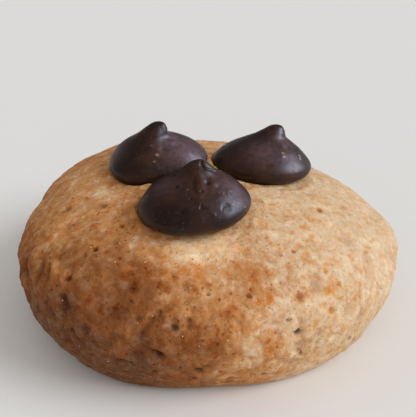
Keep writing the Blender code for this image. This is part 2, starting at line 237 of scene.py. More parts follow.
BLUSH = (
    (312.3, 199, 0.32, 0.8), (308.2, 218, 0.28, 0.9), (296.6, 216.4, 0.28, 0.6), (250.2, 240.4, 0.3, 1.3),
    (270.5, 243.3, 0.32, 0.8), (326.2, 272.4, 0.28, 1.1), (342.2, 246.3, 0.26, 0.8),
    (361.3, 272, 0.28, 0.9), (377, 284.2, 0.32, 0.8), (338.4, 283.8, 0.34, 0.9),
    (303.4, 287.5, 0.34, 0.9), (299.9, 297.8, 0.55, 1.2), (353, 211, 0.36, 0.4), (359.6, 226.8, 0.3, 0.4),
    (294, 251.3, 0.32, 1.2), (297.5, 248, 0.4, 0.5), (319.8, 209.8, 0.46, 1.4), (374.5, 297, 0.4, 0.7),
    (355.4, 299, 0.34, 0.7), (358.7, 316, 0.3, 0.8), (360, 323, 0.26, 0.7), (331.8, 343.8, 0.46, 0.5),
    (282, 338, 0.36, 0.7), (277.5, 364.6, 0.5, 0.6), (229, 311.3, 0.5, 0.9), (235, 308.8, 0.46, 0.8),
    (242.7, 315.8, 0.3, 1.2), (220.7, 315.8, 0.26, 0.9), (257.2, 310.4, 0.28, 0.9),
    (251.4, 289.7, 0.46, 0.7), (248.9, 295.5, 0.32, 1), (208.6, 284, 0.36, 1.1),
    (208.6, 294.2, 0.26, 1.3), (195.2, 290, 0.42, 0.9), (176, 278.5, 0.36, 1.1), (161.3, 283.8, 0.5, 1),
    (167.5, 289.6, 0.5, 1.1), (148.5, 275.5, 0.55, 0.9), (152.5, 271.5, 0.46, 0.6),
    (123.3, 276.5, 0.5, 1), (133.8, 288.6, 0.62, 1.3), (134.5, 283, 0.4, 1), (140, 277, 0.3, 0.9),
    (87.4, 198, 0.32, 0.9), (108.9, 188, 0.28, 0.6), (117.2, 189.7, 0.34, 0.7), (123.8, 201.3, 0.24, 0.9),
    (114.3, 204.6, 0.28, 0.6), (98.6, 212.9, 0.3, 0.9), (106.4, 212, 0.34, 0.8),
    (121.4, 225.4, 0.42, 1.3), (118.9, 221.6, 0.26, 0.8), (133.8, 227.4, 0.34, 1.1),
    (137.1, 231.2, 0.3, 0.9), (153.7, 230.7, 0.36, 1), (169.5, 239.9, 0.4, 0.9), (93.2, 225.4, 0.34, 0.9),
    (99.8, 224.1, 0.26, 0.7), (110.6, 234.5, 0.26, 0.8), (94.8, 248.8, 0.34, 1.4), (106.9, 251.9, 0.3, 1),
    (86.5, 255.2, 0.28, 1.2), (83, 227, 0.36, 0.8), (71, 239, 0.46, 0.5), (51.5, 222.3, 0.4, 0.9),
    (37.4, 229.8, 0.4, 0.9), (44, 219, 0.4, 0.6), (57, 229, 0.36, 0.6), (68, 278, 0.5, 1.1),
    (59, 258, 0.36, 0.8), (88.9, 300.4, 0.46, 1.2), (78.9, 307.4, 0.34, 1), (100.7, 309.7, 0.42, 1.1),
    (108.4, 309, 0.3, 0.9), (115.4, 308.2, 0.4, 1.1), (122, 307.4, 0.26, 1), (90.5, 320.7, 0.42, 0.8),
    (96.3, 324, 0.8, 0.5), (131.2, 362.6, 0.42, 1), (189.8, 342.3, 0.85, 0.6), (197.2, 326.5, 0.46, 0.9),
    (205.5, 328.2, 0.4, 0.8), (205.5, 359.7, 0.42, 0.7), (188.1, 358.9, 0.32, 0.7),
    (180.6, 351.4, 0.32, 0.6), (168.5, 310.5, 0.42, 0.9), (175, 318, 0.28, 0.7),
    (230.7, 326.2, 0.28, 0.8), (218.2, 330.3, 0.32, 0.9), (240.6, 330.3, 0.3, 0.6),
    (224.9, 337.8, 0.32, 0.8), (258, 337.5, 0.34, 0.6), (119, 290, 0.5, 0.6), (106, 282, 0.4, 0.6),
    (150, 298, 0.4, 0.6), (141, 303, 0.36, 0.7),
)
GREY = (
    (67.5, 208.8, 0.62, 1), (103.1, 205.5, 0.6, 1), (189.5, 287, 0.7, 0.8), (357, 234.7, 0.5, 0.5),
    (302, 294, 0.6, 0.5), (65.7, 305.8, 0.85, 0.9), (61, 299, 0.7, 0.7), (95, 256, 0.8, 0.6),
    (70, 256, 0.9, 0.6), (188.9, 327.4, 0.5, 0.6), (119.6, 349.7, 0.8, 0.3), (230, 334, 0.7, 0.3),
    (278, 318, 1.1, 0.4), (316.9, 341.4, 0.34, 0.7), (45, 300, 0.9, 0.5), (288.5, 320.3, 0.3, 0.9),
    (78, 316, 0.9, 0.4), (290, 306, 0.7, 0.3), (262, 262, 0.6, 0.3), (310, 262, 0.7, 0.2),
)
FLOUR = (
    # The first patch, below the front chip, is painted light where the chip's shadow falls
    (205, 249, 1.6, 0.15), (384, 272, 2.6, 0.6), (376, 240, 2.2, 0.5), (346.3, 265.4, 1.1, 0.8),
    (367, 278, 0.9, 0.7), (372, 256, 0.5, 0.9), (374, 263, 0.46, 0.8), (361.7, 239.7, 0.34, 1.2),
    (351.3, 248, 0.28, 1.2), (328, 243, 0.5, 0.7), (380, 240, 1.2, 0.5), (207, 246, 0.45, 0.5),
    (217.5, 250.5, 0.4, 0.8), (231, 257, 0.5, 0.6), (187, 261, 0.42, 0.6), (150.5, 244, 0.6, 0.4),
    (196, 244.5, 0.6, 0.4), (134.6, 239.5, 0.46, 1.1), (133, 245.5, 0.5, 1.2), (282, 262, 0.6, 0.7),
    (281.5, 278, 0.6, 0.7), (280.5, 291, 0.55, 0.6), (170.5, 236.5, 0.4, 0.7), (252, 353, 0.85, 0.6),
    (255, 345.5, 0.62, 0.5), (259.8, 361, 0.6, 0.5), (293, 366, 0.55, 0.6), (274.6, 326.6, 0.4, 1),
    (182, 246.5, 0.5, 0.6), (160, 243.5, 0.5, 0.4), (222, 240, 0.5, 0.4), (240, 292, 0.7, 0.5),
    (216.5, 276, 0.45, 0.6), (223, 281, 0.4, 0.5), (176, 270.5, 0.36, 0.5), (101.5, 193, 1.2, 0.6),
    (132, 325, 0.9, 0.4), (166.8, 325.5, 0.5, 0.7), (310, 208, 0.7, 0.4), (300, 320, 1, 0.4),
    (309.5, 304, 0.8, 0.4), (290, 225, 0.6, 0.4), (323, 231, 0.5, 0.6), (343, 221, 0.7, 0.5),
    (205.5, 308, 0.3, 0.6), (315, 268, 0.6, 0.5), (367.5, 218, 0.7, 0.5),
)
# Grains of sugar that catch the light: x, y, half width
SUGAR = (
    (185.6, 315.8, 0.2), (186.6, 303.2, 0.13), (182.7, 336.4, 0.13), (199.3, 346.4, 0.11),
    (228.3, 340.6, 0.13), (231.6, 349.4, 0.11), (274.6, 326.6, 0.2), (256, 300.5, 0.15),
    (190.5, 288, 0.13), (207.5, 248.5, 0.18), (119.7, 243.2, 0.16), (91, 247.2, 0.15),
    (82.8, 217.1, 0.15), (75, 221.6, 0.1), (115, 262, 0.15), (145, 262, 0.15), (146.5, 261, 0.12),
    (152.8, 316.2, 0.15), (137.5, 323, 0.11), (108, 361.2, 0.14), (332.2, 298.2, 0.12),
    (343, 297.8, 0.13), (335.5, 293.3, 0.14), (336.4, 283.7, 0.14), (325.2, 335.6, 0.12),
    (286.2, 357.5, 0.14), (351.3, 248, 0.13), (361.7, 239.7, 0.17), (34.5, 236, 0.16), (160, 365, 0.11),
    (237, 252, 0.13), (219, 268, 0.12), (203, 258, 0.12), (172, 246, 0.12), (178.5, 297, 0.11),
    (62.5, 300.5, 0.13), (168, 303, 0.11), (99, 236.5, 0.12), (296, 292.5, 0.13), (313, 333, 0.1),
)

SHADE_AND_BROWN_BORDER, SHADE_AND_BROWN_BORDER_WIDTH = 14.5, 22.0  # X where the paler right half begins, in millimetres; the left half is painted darker, partly as browning and partly as painted shade away from the lamps on the right
DOUGH_NOISE_SHIFT = Vector((4.7, 1.3, 8.2))
# How many, then the smallest and the largest half width in millimetres
CRUMB_COUNT, CRUMB_SMALLEST, CRUMB_LARGEST = 5000, 0.08, 0.17
BRAN_COUNT, BRAN_SMALLEST, BRAN_LARGEST = 2400, 0.07, 0.17
SUGAR_COUNT, SUGAR_SMALLEST, SUGAR_LARGEST = 150, 0.04, 0.07
SEEN_SUGAR_SHARE = 0.8  # of the half width that a grain has in the photograph
# Height as a share of width, and the share of that height that is sunk into the crust
CRUMB_SHAPE, BRAN_SHAPE, SUGAR_SHAPE = (0.5, 0.5), (0.35, 0.55), (0.8, 0.25)
STONE_WIDTHS, STONE_ROUGHNESS = (0.6, 1.0), (0.85, 1.15)
LEAST_BRAN = 0.35  # how likely bran is on the palest crust; browning, with its painted shade, adds to it
FOOT_CRUMBS = 9.0  # how much denser the crumbs lie at the chips' feet
SCATTER_SEED = 29

# Broad browning of the crust, partly painted shade on the lower left and painted light below the front chip
# where its shadow falls: x, y, half width, strength, below zero where it is paler
BROWNED_AND_SHADED = (
    (150, 290, 3.6, 0.22), (110, 305, 5, 0.2), (190, 340, 3.5, 0.22), (205, 345, 3, 0.2),
    (182, 244, 2.8, -0.28), (215, 240, 2.6, -0.22), (150, 243, 2, -0.12), (378, 262, 4, -0.2),
    (120, 350, 4, 0.12), (225, 350, 3, 0.1), (185, 262, 2.2, -0.12), (128, 190, 4, -0.22),
    (102, 193, 3, -0.1), (262, 290, 2.6, 0.14), (285, 275, 4, 0.1), (85, 172, 3, -0.22),
    (100, 260, 3, 0.12), (270, 352, 1.8, 0.25), (230, 312, 1.8, 0.15), (252, 353, 1.6, -0.2),
    (65, 304, 1.4, 0.45), (84, 331, 1, 0.35), (150, 357, 1.6, 0.3), (45, 305, 2.4, 0.15),
    (118, 352, 1.4, -0.5), (127, 329, 1.2, -0.45), (140, 372, 1.2, 0.2), (100, 333, 1.2, -0.25),
    (57, 267, 1, -0.25), (34, 256, 1, -0.25), (43, 274, 1, 0.35), (107, 343, 0.8, 0.4),
    (135, 364, 1.5, 0.45), (122, 308, 1.6, 0.25), (75, 345, 1.5, 0.2), (141, 336, 1, 0.35),
    (62, 240, 1.6, -0.15), (170, 352, 1.5, -0.2), (185, 372, 2, 0.06), (205, 249, 3, -0.16),
    (48, 262, 3, 0.14), (140, 208, 2, 0.1), (320, 345, 3, 0.05),
)
# Painted light on the crust, brightest below the front chip where its shadow falls, and painted shade where
# the share is below zero: x, y, half width, share
PAINTED_LIGHT_AND_SHADE = (
    (203, 247, 3.2, 0.25), (180, 246, 1.8, 0.16), (229, 246, 1.8, 0.16), (245, 268, 4, -0.08),
    (60, 262, 4, -0.06),
)
BORDER_WANDER, BORDER_WANDER_SIZE = 2.2, 5.0
# Shares of browning: everywhere, then of browning with painted shade on the left, low on the left, on the
# dark flank and low down
BROWN_EVEN, BROWN_AND_SHADE_LEFT, BROWN_AND_SHADE_LOW_LEFT, BROWN_AND_SHADE_FLANK, BROWN_AND_SHADE_LOW = 0.06, 0.52, 0.48, 0.68, 0.06
BROWN_AND_SHADE_MOST = 1.6
LOW_TOP, LOW_SPAN = 10.5, 9.0  # heights in millimetres
FLANK_DIRECTION = np.array((-0.88, -0.47, 0.0))  # towards the flank painted darkest, partly as browning and partly as painted shade away from the lamps
FLANK_START, FLANK_SPAN = 0.40, 0.55  # shares of the cookie's radius
FLANK_TOP, FLANK_TOP_SPAN = 15.5, 8.0
FLANK_RUGGEDNESS = 0.45  # how much rougher that flank is, as a share
# Painted shade in the grain's hollows: how deep they must be to be darkest, and how dark they are painted
HOLLOW_DEPTH, HOLLOW_DARKNESS = 0.11, 0.34
CALM_HOLLOWS = 0.25  # how dark the painted shade of the hollows is away from that flank, as a share
BORDER_NOISE_SHIFT = Vector((1.7, 6.1, 2.9))
LIP_NOISE_SHIFT = Vector((3.3, 5.1, 0.4))
LIP_MEAN, LIP_UNEVENNESS, LIP_LUMP = 0.6, 0.9, 0.8
FOOT_FADE = 0.60
PIT_DARKNESS = 0.5  # painted shade, for each millimetre of depth of the solid's pits
# The creases' size, depth and width in millimetres, and the share of painted shade in them
CREASE_SIZE, CREASE_DEPTH, CREASE_WIDTH, CREASE_DARKNESS = 1.5, 0.14, 0.13, 0.2
CREASE_STRETCH = 2.6  # creases run up and down the sides
CREASE_END, CREASE_FADE = 0.75, 0.5  # of the normal's Z: no crease shows above the first
GRAIN = ((1.15, 0.085, 2), (0.62, 0.056, 2))  # size across, height, octaves
OCTAVE_FADE, OCTAVE_STEP = 0.8, 2.1
DARK_DEPTH = 0.45  # a mark this deep is painted as dark as it can be, as shade
# How dark the folds are painted, as shade
FOLD_DARKNESS = 0.55
LINE_END_SHARE = 0.35  # how wide a fold is at its ends
LOWEST_CRUMB = 0.7
UNDER_CHIP = 0.98  # nothing is scattered where the painted foot is above this

# Pits of the chips: x, y of their pixel, half width, depth, which is below zero for a bump
CHIP_MARKS = {
    "chip_front": (
        (212.6, 183.8, 0.5, -0.12), (208.2, 183, 0.3, 0.14), (176.7, 186.3, 0.2, 0.14),
        (190.8, 198.8, 0.18, 0.12), (201.7, 191.7, 0.22, 0.12), (225, 194.5, 0.2, 0.06),
        (231, 192.5, 0.18, 0.04), (220.8, 193, 0.2, 0.03), (168, 195, 0.24, 0.05),
        (155.8, 193.3, 0.24, 0.06), (214, 215, 0.2, -0.06), (227.5, 208.3, 0.5, 0.05),
    ),
    "chip_left": (
        (150.8, 145.8, 0.24, -0.04), (156.7, 155, 0.28, -0.06), (154, 161.7, 0.24, -0.05),
        (164, 150, 0.5, 0.05), (178, 146, 0.6, 0.05), (189, 152, 0.5, -0.04),
    ),
    "chip_right": (
        (268.8, 142.5, 0.24, -0.04), (283.5, 155, 0.3, -0.06), (300, 157, 0.28, -0.06),
        (268, 165, 0.4, 0.06), (283, 145, 0.4, -0.05), (250, 155, 0.5, 0.05),
    ),
}
CHIP_CREASES = {
    "chip_front": (
        (((200.8, 160.8), (201.8, 165), (204.5, 168), (215.8, 171.7)), 0.22, 0.2),
        (((203, 161.5), (208.5, 164), (213, 167.5), (218, 171.5)), 0.34, -0.06),
        (((198.5, 172), (200, 184), (200, 197)), 0.5, -0.13),
        (((194, 177), (194, 186), (195.5, 194)), 0.34, 0.09),
        (((201.7, 203.3), (200.8, 208.3), (204, 208), (208.3, 209.2)), 0.15, 0.12),
        (((180, 210.8), (182.5, 212.5), (185, 214.2)), 0.15, 0.1),
        (((170.8, 176.7), (174, 175), (177.5, 173)), 0.17, 0.13),
        (((222.3, 211), (222.8, 207), (226, 204.3), (230.5, 205)), 0.14, 0.05),
    ),
    "chip_left": (
        (((166, 138), (176, 140), (186, 141)), 0.4, 0.05),
    ),
    "chip_right": (
        (((262, 138), (256, 146), (252, 156)), 0.4, 0.05),
    ),
}
# Pale specks on the chocolate: x, y, half width, strength. The front chip's pale dot beside one of its pits,
# at 225.8, 195.6, is a painted glint
CHIP_SPECKS_AND_GLINT = {
    "chip_front": (
        (187.5, 189.7, 0.13, 0.6), (225.8, 195.6, 0.12, 1), (245, 206.7, 0.12, 0.9),
    ),
    "chip_left": (
        (156.7, 155, 0.26, 0.6), (154, 161.7, 0.22, 0.5), (150.8, 145.8, 0.2, 0.4),
    ),
    "chip_right": (
        (283, 153.5, 0.22, 1), (283.8, 157, 0.2, 0.9), (299.8, 156, 0.24, 1), (300.2, 159, 0.18, 0.9),
        (268.8, 142.5, 0.2, 0.4),
    ),
}
# Where the chocolate has a greyish bloom and a painted sheen of reflected light, mostly on the sides towards
# the lamps and on the left limbs: x, y, half width, strength
CHIP_BLOOM_AND_SHEEN = {
    "chip_front": (
        (234, 187, 1.8, 0.85), (243, 198, 1.5, 0.8), (165, 185, 1.6, 0.35),
    ),
    "chip_left": (
        (190, 148, 2.4, 1.3), (178, 141, 1.6, 1.2), (117, 153, 1.4, 0.6),
    ),
    "chip_right": (
        (266, 152, 2, 0.65), (292, 158, 1.8, 0.75), (285, 142, 1.4, 0.6),
    ),
}
# Painted light: where the chocolate is painted a warmer, browner tone because the light falls on it: x, y,
# half width, strength
CHIP_LIT_WARMTH = {
    "chip_front": (
        (206, 186, 2.2, 1), (220, 182, 1.6, 0.8), (214, 202, 1.5, 0.6), (197, 170, 1.2, 0.7),
    ),
    "chip_left": (
        (161, 150, 1.2, 0.9), (172, 157, 1.2, 0.8), (150, 158, 1.4, 0.4),
    ),
    "chip_right": (
        (266, 165, 1.5, 0.9), (283, 145, 1.4, 0.7), (255, 152, 1.6, 0.5),
    ),
}
CHIP_WAVES, CHIP_WAVE_SIZE = 0.05, 2.2
CHIP_GRAIN, CHIP_GRAIN_SIZE = 0.010, 0.8
CHIP_NOISE_SHIFT = Vector((2.1, 7.7, 5.3))
# Chip marks this deep are painted as dark as they can be, as shade
CHIP_DARK_DEPTH = 0.16

# Name, azimuth, elevation, strength, spread, what shows it, colour; angles are in degrees
LIGHTS = (
    ("key", -18, 36, 1.90, 36, "diffuse", (0.94, 0.97, 1.0)),
    ("shine", 12, 33, 4.8, 26, "gloss", (0.76, 0.82, 1.0)),
    ("soft_front", -80, 30, 0.80, 76, "diffuse", (1.0, 0.98, 0.95)),
    ("soft_top", 150, 68, 0.98, 140, "diffuse", (1.0, 0.98, 0.96)),
)
WORLD_COLOUR, WORLD_STRENGTH = (1.0, 0.985, 0.975, 1), 0.15
FLOOR_SIZE, FLOOR_COLOUR = 3.0, (0.79, 0.78, 0.765, 1)

CREAM = (0.69, 0.475, 0.288, 1)
PALE_CREAM = (0.82, 0.66, 0.47, 1)
HONEY_CREAM = (0.545, 0.249, 0.086, 1)
HONEY_SPOT = (0.50, 0.20, 0.045, 1)
TOASTED = (0.27, 0.093, 0.026, 1)
DARK_TOASTED = (0.15, 0.056, 0.021, 1)
RED_SPOT = (0.25, 0.075, 0.025, 1)
HONEY_AND_FOOT_SHADE_TINT = (0.94, 0.67, 0.34, 1)
RED_TINT = (0.70, 0.54, 0.42, 1)
DOT_AND_PIT_SHADE_TINT = (0.60, 0.39, 0.27, 1)
GREY_TINT = (0.64, 0.56, 0.56, 1)
HOLE_SHADE_BROWN = (0.055, 0.018, 0.010, 1)
SUGAR_WHITE = (0.82, 0.70, 0.56, 1)
SUGAR_AMBER = (0.70, 0.42, 0.20, 1)
CHOCOLATE = (0.018, 0.0080, 0.0055, 1)
CHOCOLATE_WARM_AND_LIT = (0.060, 0.021, 0.010, 1)
CHOCOLATE_BLOOM_AND_SHEEN = (0.115, 0.064, 0.076, 1)
CHOCOLATE_CREASE_SHADE = (0.006, 0.003, 0.003, 1)
CHOCOLATE_SPECK_AND_GLINT = (0.30, 0.19, 0.15, 1)
BUMP_DISTANCE = 0.0002


def smooth_step(value):
    value = np.clip(value, 0.0, 1.0)
    return value * value * (3 - 2 * value)


def photo_ray(x, y):
    """The camera's place and the direction in which it sees a pixel of the photograph, in millimetres."""
    back = Vector((0, -math.cos(CAMERA_ELEVATION), math.sin(CAMERA_ELEVATION)))
    up = Vector((0, math.sin(CAMERA_ELEVATION), math.cos(CAMERA_ELEVATION)))
    across = (x - PHOTO_WIDTH / 2) / FOCAL_PIXELS
    rise = (PHOTO_HEIGHT / 2 - y) / FOCAL_PIXELS
    return CAMERA_TARGET + back * CAMERA_DISTANCE, (Vector((across, 0, 0)) + up * rise - back).normalized()


def on_surface(tree, x, y):
    """The point of a surface that shows at a pixel of the photograph, or at its outline just inside."""
    pixel, middle = Vector((x, y)), Vector(COOKIE_MIDDLE_PIXEL)
    hit = None
    while hit is None:
        hit = tree.ray_cast(*photo_ray(*pixel))[0]
        pixel += (middle - pixel).normalized()
    return np.array(hit)


def plan_radius(azimuth):
    oval = OVAL_SHARE * np.cos(2 * (azimuth - OVAL_TURN))
    triangle = TRIANGLE_SHARE * np.cos(3 * (azimuth - TRIANGLE_TURN))
    return COOKIE_RADIUS * (1 + oval + triangle)


def body_points(directions, underside_latitude):
    """Where directions from the cookie's middle meet its bare body."""
    azimuth = np.arctan2(directions[:, 1], directions[:, 0])
    latitude = np.arcsin(np.clip(directions[:, 2], -1.0, 1.0))
    radius = plan_radius(azimuth)

    share = np.cos(np.maximum(latitude, 0)) ** (2 / DOME_ROUNDNESS)
    rise = np.maximum(0, 1 - share**DOME_ROUNDNESS) ** (1 / DOME_ROUNDNESS)
    rise *= 1 - DROP_SHARE * np.cos(azimuth - DROP_TURN) * share
    dome_height = WIDEST_HEIGHT + (COOKIE_HEIGHT - WIDEST_HEIGHT) * rise

    turn = np.clip(latitude / underside_latitude, 0, 1) * math.pi / 2
    drop = np.sin(turn) ** (2 / SIDE_ROUNDNESS)
    soft_drop = np.hypot(drop, SIDE_SOFTNESS) - SIDE_SOFTNESS
    soft_drop /= math.hypot(1, SIDE_SOFTNESS) - SIDE_SOFTNESS
    bulge = np.maximum(0, 1 - soft_drop**SIDE_ROUNDNESS) ** (1 / SIDE_ROUNDNESS)
    side_share = UNDERSIDE_SHARE + (1 - UNDERSIDE_SHARE) * bulge
    flat_share = UNDERSIDE_SHARE * (latitude + math.pi / 2) / (underside_latitude + math.pi / 2)

    out = np.where(latitude > 0, share, np.where(latitude > underside_latitude, side_share, flat_share))
    height = np.where(latitude > 0, dome_height, WIDEST_HEIGHT * (1 - drop))
    height = np.where(latitude <= underside_latitude, 0.0, height)
    return np.stack([out * radius * np.cos(azimuth), out * radius * np.sin(azimuth), height], 1)


def outward(points):
    """Roughly the normals of the bare body at its points."""
    reach = np.where(points[:, 2] > WIDEST_HEIGHT, COOKIE_HEIGHT - WIDEST_HEIGHT, WIDEST_HEIGHT)
    x, y = points[:, 0] / COOKIE_RADIUS**2, points[:, 1] / COOKIE_RADIUS**2
    return towards(np.stack([x, y, (points[:, 2] - WIDEST_HEIGHT) / reach**2], 1))


def towards(offsets):
    """Unit vectors along offsets."""
    return offsets / np.linalg.norm(offsets, axis=1, keepdims=True)


def swell(points):
    """How far the body swells out at points, in millimetres, or falls in."""
    out = np.zeros(len(points))
    for azimuth, latitude, radius, rise in SWELLS:
        direction = direction_of(math.radians(azimuth), math.radians(latitude))
        out += rise * near(points, body_points(direction, UNDERSIDE_LATITUDE)[0], radius)
    return out


def direction_of(azimuth, latitude):
    flat = math.cos(latitude)
    return np.array([[flat * math.cos(azimuth), flat * math.sin(azimuth), math.sin(latitude)]])


def solid_pits():
    """The pits of the cookie's solid, as (middle, radius, depth)."""
    pits = []
    for azimuth, latitude, radius, depth in MARKS:
        direction = direction_of(math.radians(azimuth), math.radians(latitude))
        pits.append((body_points(direction, UNDERSIDE_LATITUDE)[0], radius, depth))
    draw = random.Random(PIT_SEED)
    for _ in range(PIT_COUNT):
        azimuth = draw.uniform(-math.pi, math.pi)
        latitude = math.asin(draw.uniform(math.sin(PIT_LOWEST), math.sin(PIT_HIGHEST)))
        radius = PIT_SMALLEST + (PIT_LARGEST - PIT_SMALLEST) * draw.random() ** 2
        middle = body_points(direction_of(azimuth, latitude), UNDERSIDE_LATITUDE)[0]
        depth = radius * PIT_DEPTH_SHARE * draw.uniform(PIT_SHALLOWEST, 1.0)
        pits.append((middle, radius, depth))
    return pits


def noise_field(points, size, shift, stretch=1.0):
    """Smooth noise from -1 to 1 at points, with features of a size in millimetres, drawn out along Z."""
    scaled = points / np.array([size, size, size * stretch]) + np.array(shift)
    return np.array([noise.noise(Vector(spot)) for spot in scaled])


def crumb_field(points, size, shift, octaves):
    scaled = points / size + np.array(shift)
    return np.array([noise.fractal(Vector(spot), OCTAVE_FADE, OCTAVE_STEP, octaves) for spot in scaled])


def near(points, middle, radius):
    """One at the middle, fading out beyond the radius."""
    away = np.linalg.norm(points - np.array(middle), axis=1) / radius
    return np.exp(-(away**2))


def near_line(points, line, width):
    """One on a line of points, fading out beyond its width, and thinning towards its ends."""
    best = np.zeros(len(points))
    total = len(line) - 1
    for index, (start, stop) in enumerate(zip(line, line[1:])):
        start, span = np.array(start), np.array(stop) - np.array(start)
        along = np.clip((points - start) @ span / (span @ span), 0, 1)
        away = np.linalg.norm(points - start - along[:, None] * span, axis=1)
        whole = (index + along) / total
        taper = LINE_END_SHARE + (1 - LINE_END_SHARE) * np.sin(math.pi * whole) ** 0.5
        best = np.maximum(best, taper * np.exp(-((away / (width * taper)) ** 2)))
    return best


def facing(angle, heading):
    """One where an angle faces a heading in degrees, and nothing where it faces away."""
    return (0.5 + 0.5 * np.cos(angle - math.radians(heading))) ** FACING_SHARPNESS


def chip_reach(chip, up, necked, full, angle):
    """The chip's half width at shares of its height and towards angles, in millimetres."""
    fill = chip["fill"] + chip["ridge"] * facing(angle, chip["ridge_to"])
    out = necked + (full - necked) * np.minimum(FULLEST, fill)
    shoulder = chip["shoulder"] * np.exp(-(((up - SHOULDER_TOP) / SHOULDER_SPREAD) ** 2))
    out = out + shoulder * facing(angle, chip["shoulder_to"]) * np.minimum(1.0, out / SHOULDER_FADE_WIDTH)
    dent = chip["dent"] * facing(angle, chip["dent_to"]) ** DENT_SHARPNESS
    slim = 1 - (1 - chip["tip"]) * smooth_step((up - TIP_START) / (TIP_FULL - TIP_START))
    return chip["width"] / 2 * out * slim * (1 - dent)


def chip_axes(chip):
    """Where the chip's base stands and its three axes, in millimetres."""
    x, y = chip["place"]
    azimuth = math.atan2(y, x)
    share = math.hypot(x, y) / plan_radius(azimuth)
    latitude = math.acos(share ** (DOME_ROUNDNESS / 2))
    surface = body_points(direction_of(azimuth, latitude), UNDERSIDE_LATITUDE)
    tilt_to = math.radians(chip["tilt_to"])
    tip = Vector(outward(surface)[0]) + math.tan(math.radians(chip["tilt"])) * Vector(
        (math.cos(tilt_to), math.sin(tilt_to), 0)
    )
    turn = Vector((0, 0, 1)).rotation_difference(tip.normalized()).to_matrix()
    base = Vector(surface[0]) - tip.normalized() * CHIP_SUNK
    return np.array(base), np.array(turn)


def smooth_path(points, steps):
    """A Catmull-Rom curve through the points, with so many steps in each span."""
    ends = np.array([points[0], *points, points[-1]])
    t = (np.arange(steps) / steps)[:, None]
    path = []
    for a, b, c, d in zip(ends, ends[1:], ends[2:], ends[3:]):
        path.append(
            0.5 * (2 * b + (c - a) * t + (2 * a - 5 * b + 4 * c - d) * t**2 + (3 * b - a - 3 * c + d) * t**3)
        )
    return np.vstack([*path, ends[-1:]])


def place_mesh(name, data):
    """Puts a mesh into the scene with smooth shading."""
    data.shade_smooth()
    made = bpy.data.objects.new(name, data)
    bpy.context.scene.collection.objects.link(made)
    return made


def new_object(name, points, faces):
    """A mesh object from points in millimetres."""
    data = bpy.data.meshes.new(name)
    data.from_pydata([tuple(p) for p in points * MM], [], faces)
    data.validate()
    return place_mesh(name, data)


def vectors(items, field):
    """A field of three numbers, read from each item of a mesh."""
    values = np.empty(len(items) * 3, np.float32)
    items.foreach_get(field, values)
    return values.reshape(-1, 3).astype(float)


def mesh_points(data):
    return vectors(data.vertices, "co") / MM


def set_mesh_points(data, points):
    data.vertices.foreach_set("co", (points * MM).astype(np.float32).ravel())
    data.update()


def paint(data, name, values):
    """Keeps a value for each vertex, which a material reads by name."""
    layer = data.attributes.new(name, "FLOAT", "POINT")
    layer.data.foreach_set("value", np.asarray(values, np.float32))


def surface_tree(data):
    points = [Vector(p) for p in mesh_points(data)]
    return BVHTree.FromPolygons(points, [tuple(face.vertices) for face in data.polygons])


def fine_body():
    """A finely cut cube, and the unit directions of its points from the cookie's middle."""
    mesh = bmesh.new()
    bmesh.ops.create_cube(mesh, size=2.0)
    bmesh.ops.subdivide_edges(mesh, edges=mesh.edges[:], cuts=FINE_FACE_CUTS - 1, use_grid_fill=True)
    data = bpy.data.meshes.new("cookie_dough")
    mesh.to_mesh(data)
    mesh.free()
    directions = np.tan(vectors(data.vertices, "co") * math.pi / 4)
    return data, towards(towards(directions) - np.array((0.0, FRONT_CROWDING, 0.0)))


def press_seats(points):
    """Presses the dough down under each chip and raises a rough lip round its foot.

    Also gives how near each point is to a chip's foot: one under a chip, fading out beyond it.
    """
    feet = np.zeros(len(points))
    lower = smooth_path(CHIP_OUTLINE[:3], FINE_RINGS_PER_SPAN)  # up to the widest
    for chip in CHIPS.values():
        base, axes = chip_axes(chip)
        local = (points - base) @ axes
        angle = np.arctan2(local[:, 1], local[:, 0])
        out = np.hypot(local[:, 0], local[:, 1])
        close = (out < chip["width"]) & (np.abs(local[:, 2]) < chip["height"])
        half = chip_reach(chip, CHIP_WIDEST, 1.0, 1.0, angle)
        share = (out - SEAT_GAP) / half
        seat = np.interp(share, lower[:, 1], lower[:, 0]) * chip["height"] - SEAT_GAP
        lip = np.exp(-(((out - half - LIP_WIDTH / 2) / (LIP_WIDTH / 2)) ** 2))
        lip *= np.where(points[:, 1] < base[1], 1.0, BACK_LIP_SHARE)
        rough = np.zeros(len(points))
        lumps = noise_field(points[close], LIP_LUMP, LIP_NOISE_SHIFT)
        rough[close] = np.maximum(0, LIP_MEAN + LIP_UNEVENNESS * lumps)
        local[:, 2] += LIP_HEIGHT * rough * lip
        local[:, 2] = np.where(share < 1.0, np.minimum(local[:, 2], seat), local[:, 2])
        points = np.where(close[:, None], local @ axes.T + base, points)
        feet = np.maximum(feet, close * np.exp(-((np.maximum(0, out - half) / FOOT_FADE) ** 2)))
    return points, feet


def dark_flank(points):
    """One on the lower left of the front, painted darkest, partly as browning and partly as painted shade
    away from the lamps, fading out away from it.
    """
    turned = smooth_step((points @ FLANK_DIRECTION / COOKIE_RADIUS - FLANK_START) / FLANK_SPAN)
    return turned * smooth_step((FLANK_TOP - points[:, 2]) / FLANK_TOP_SPAN)


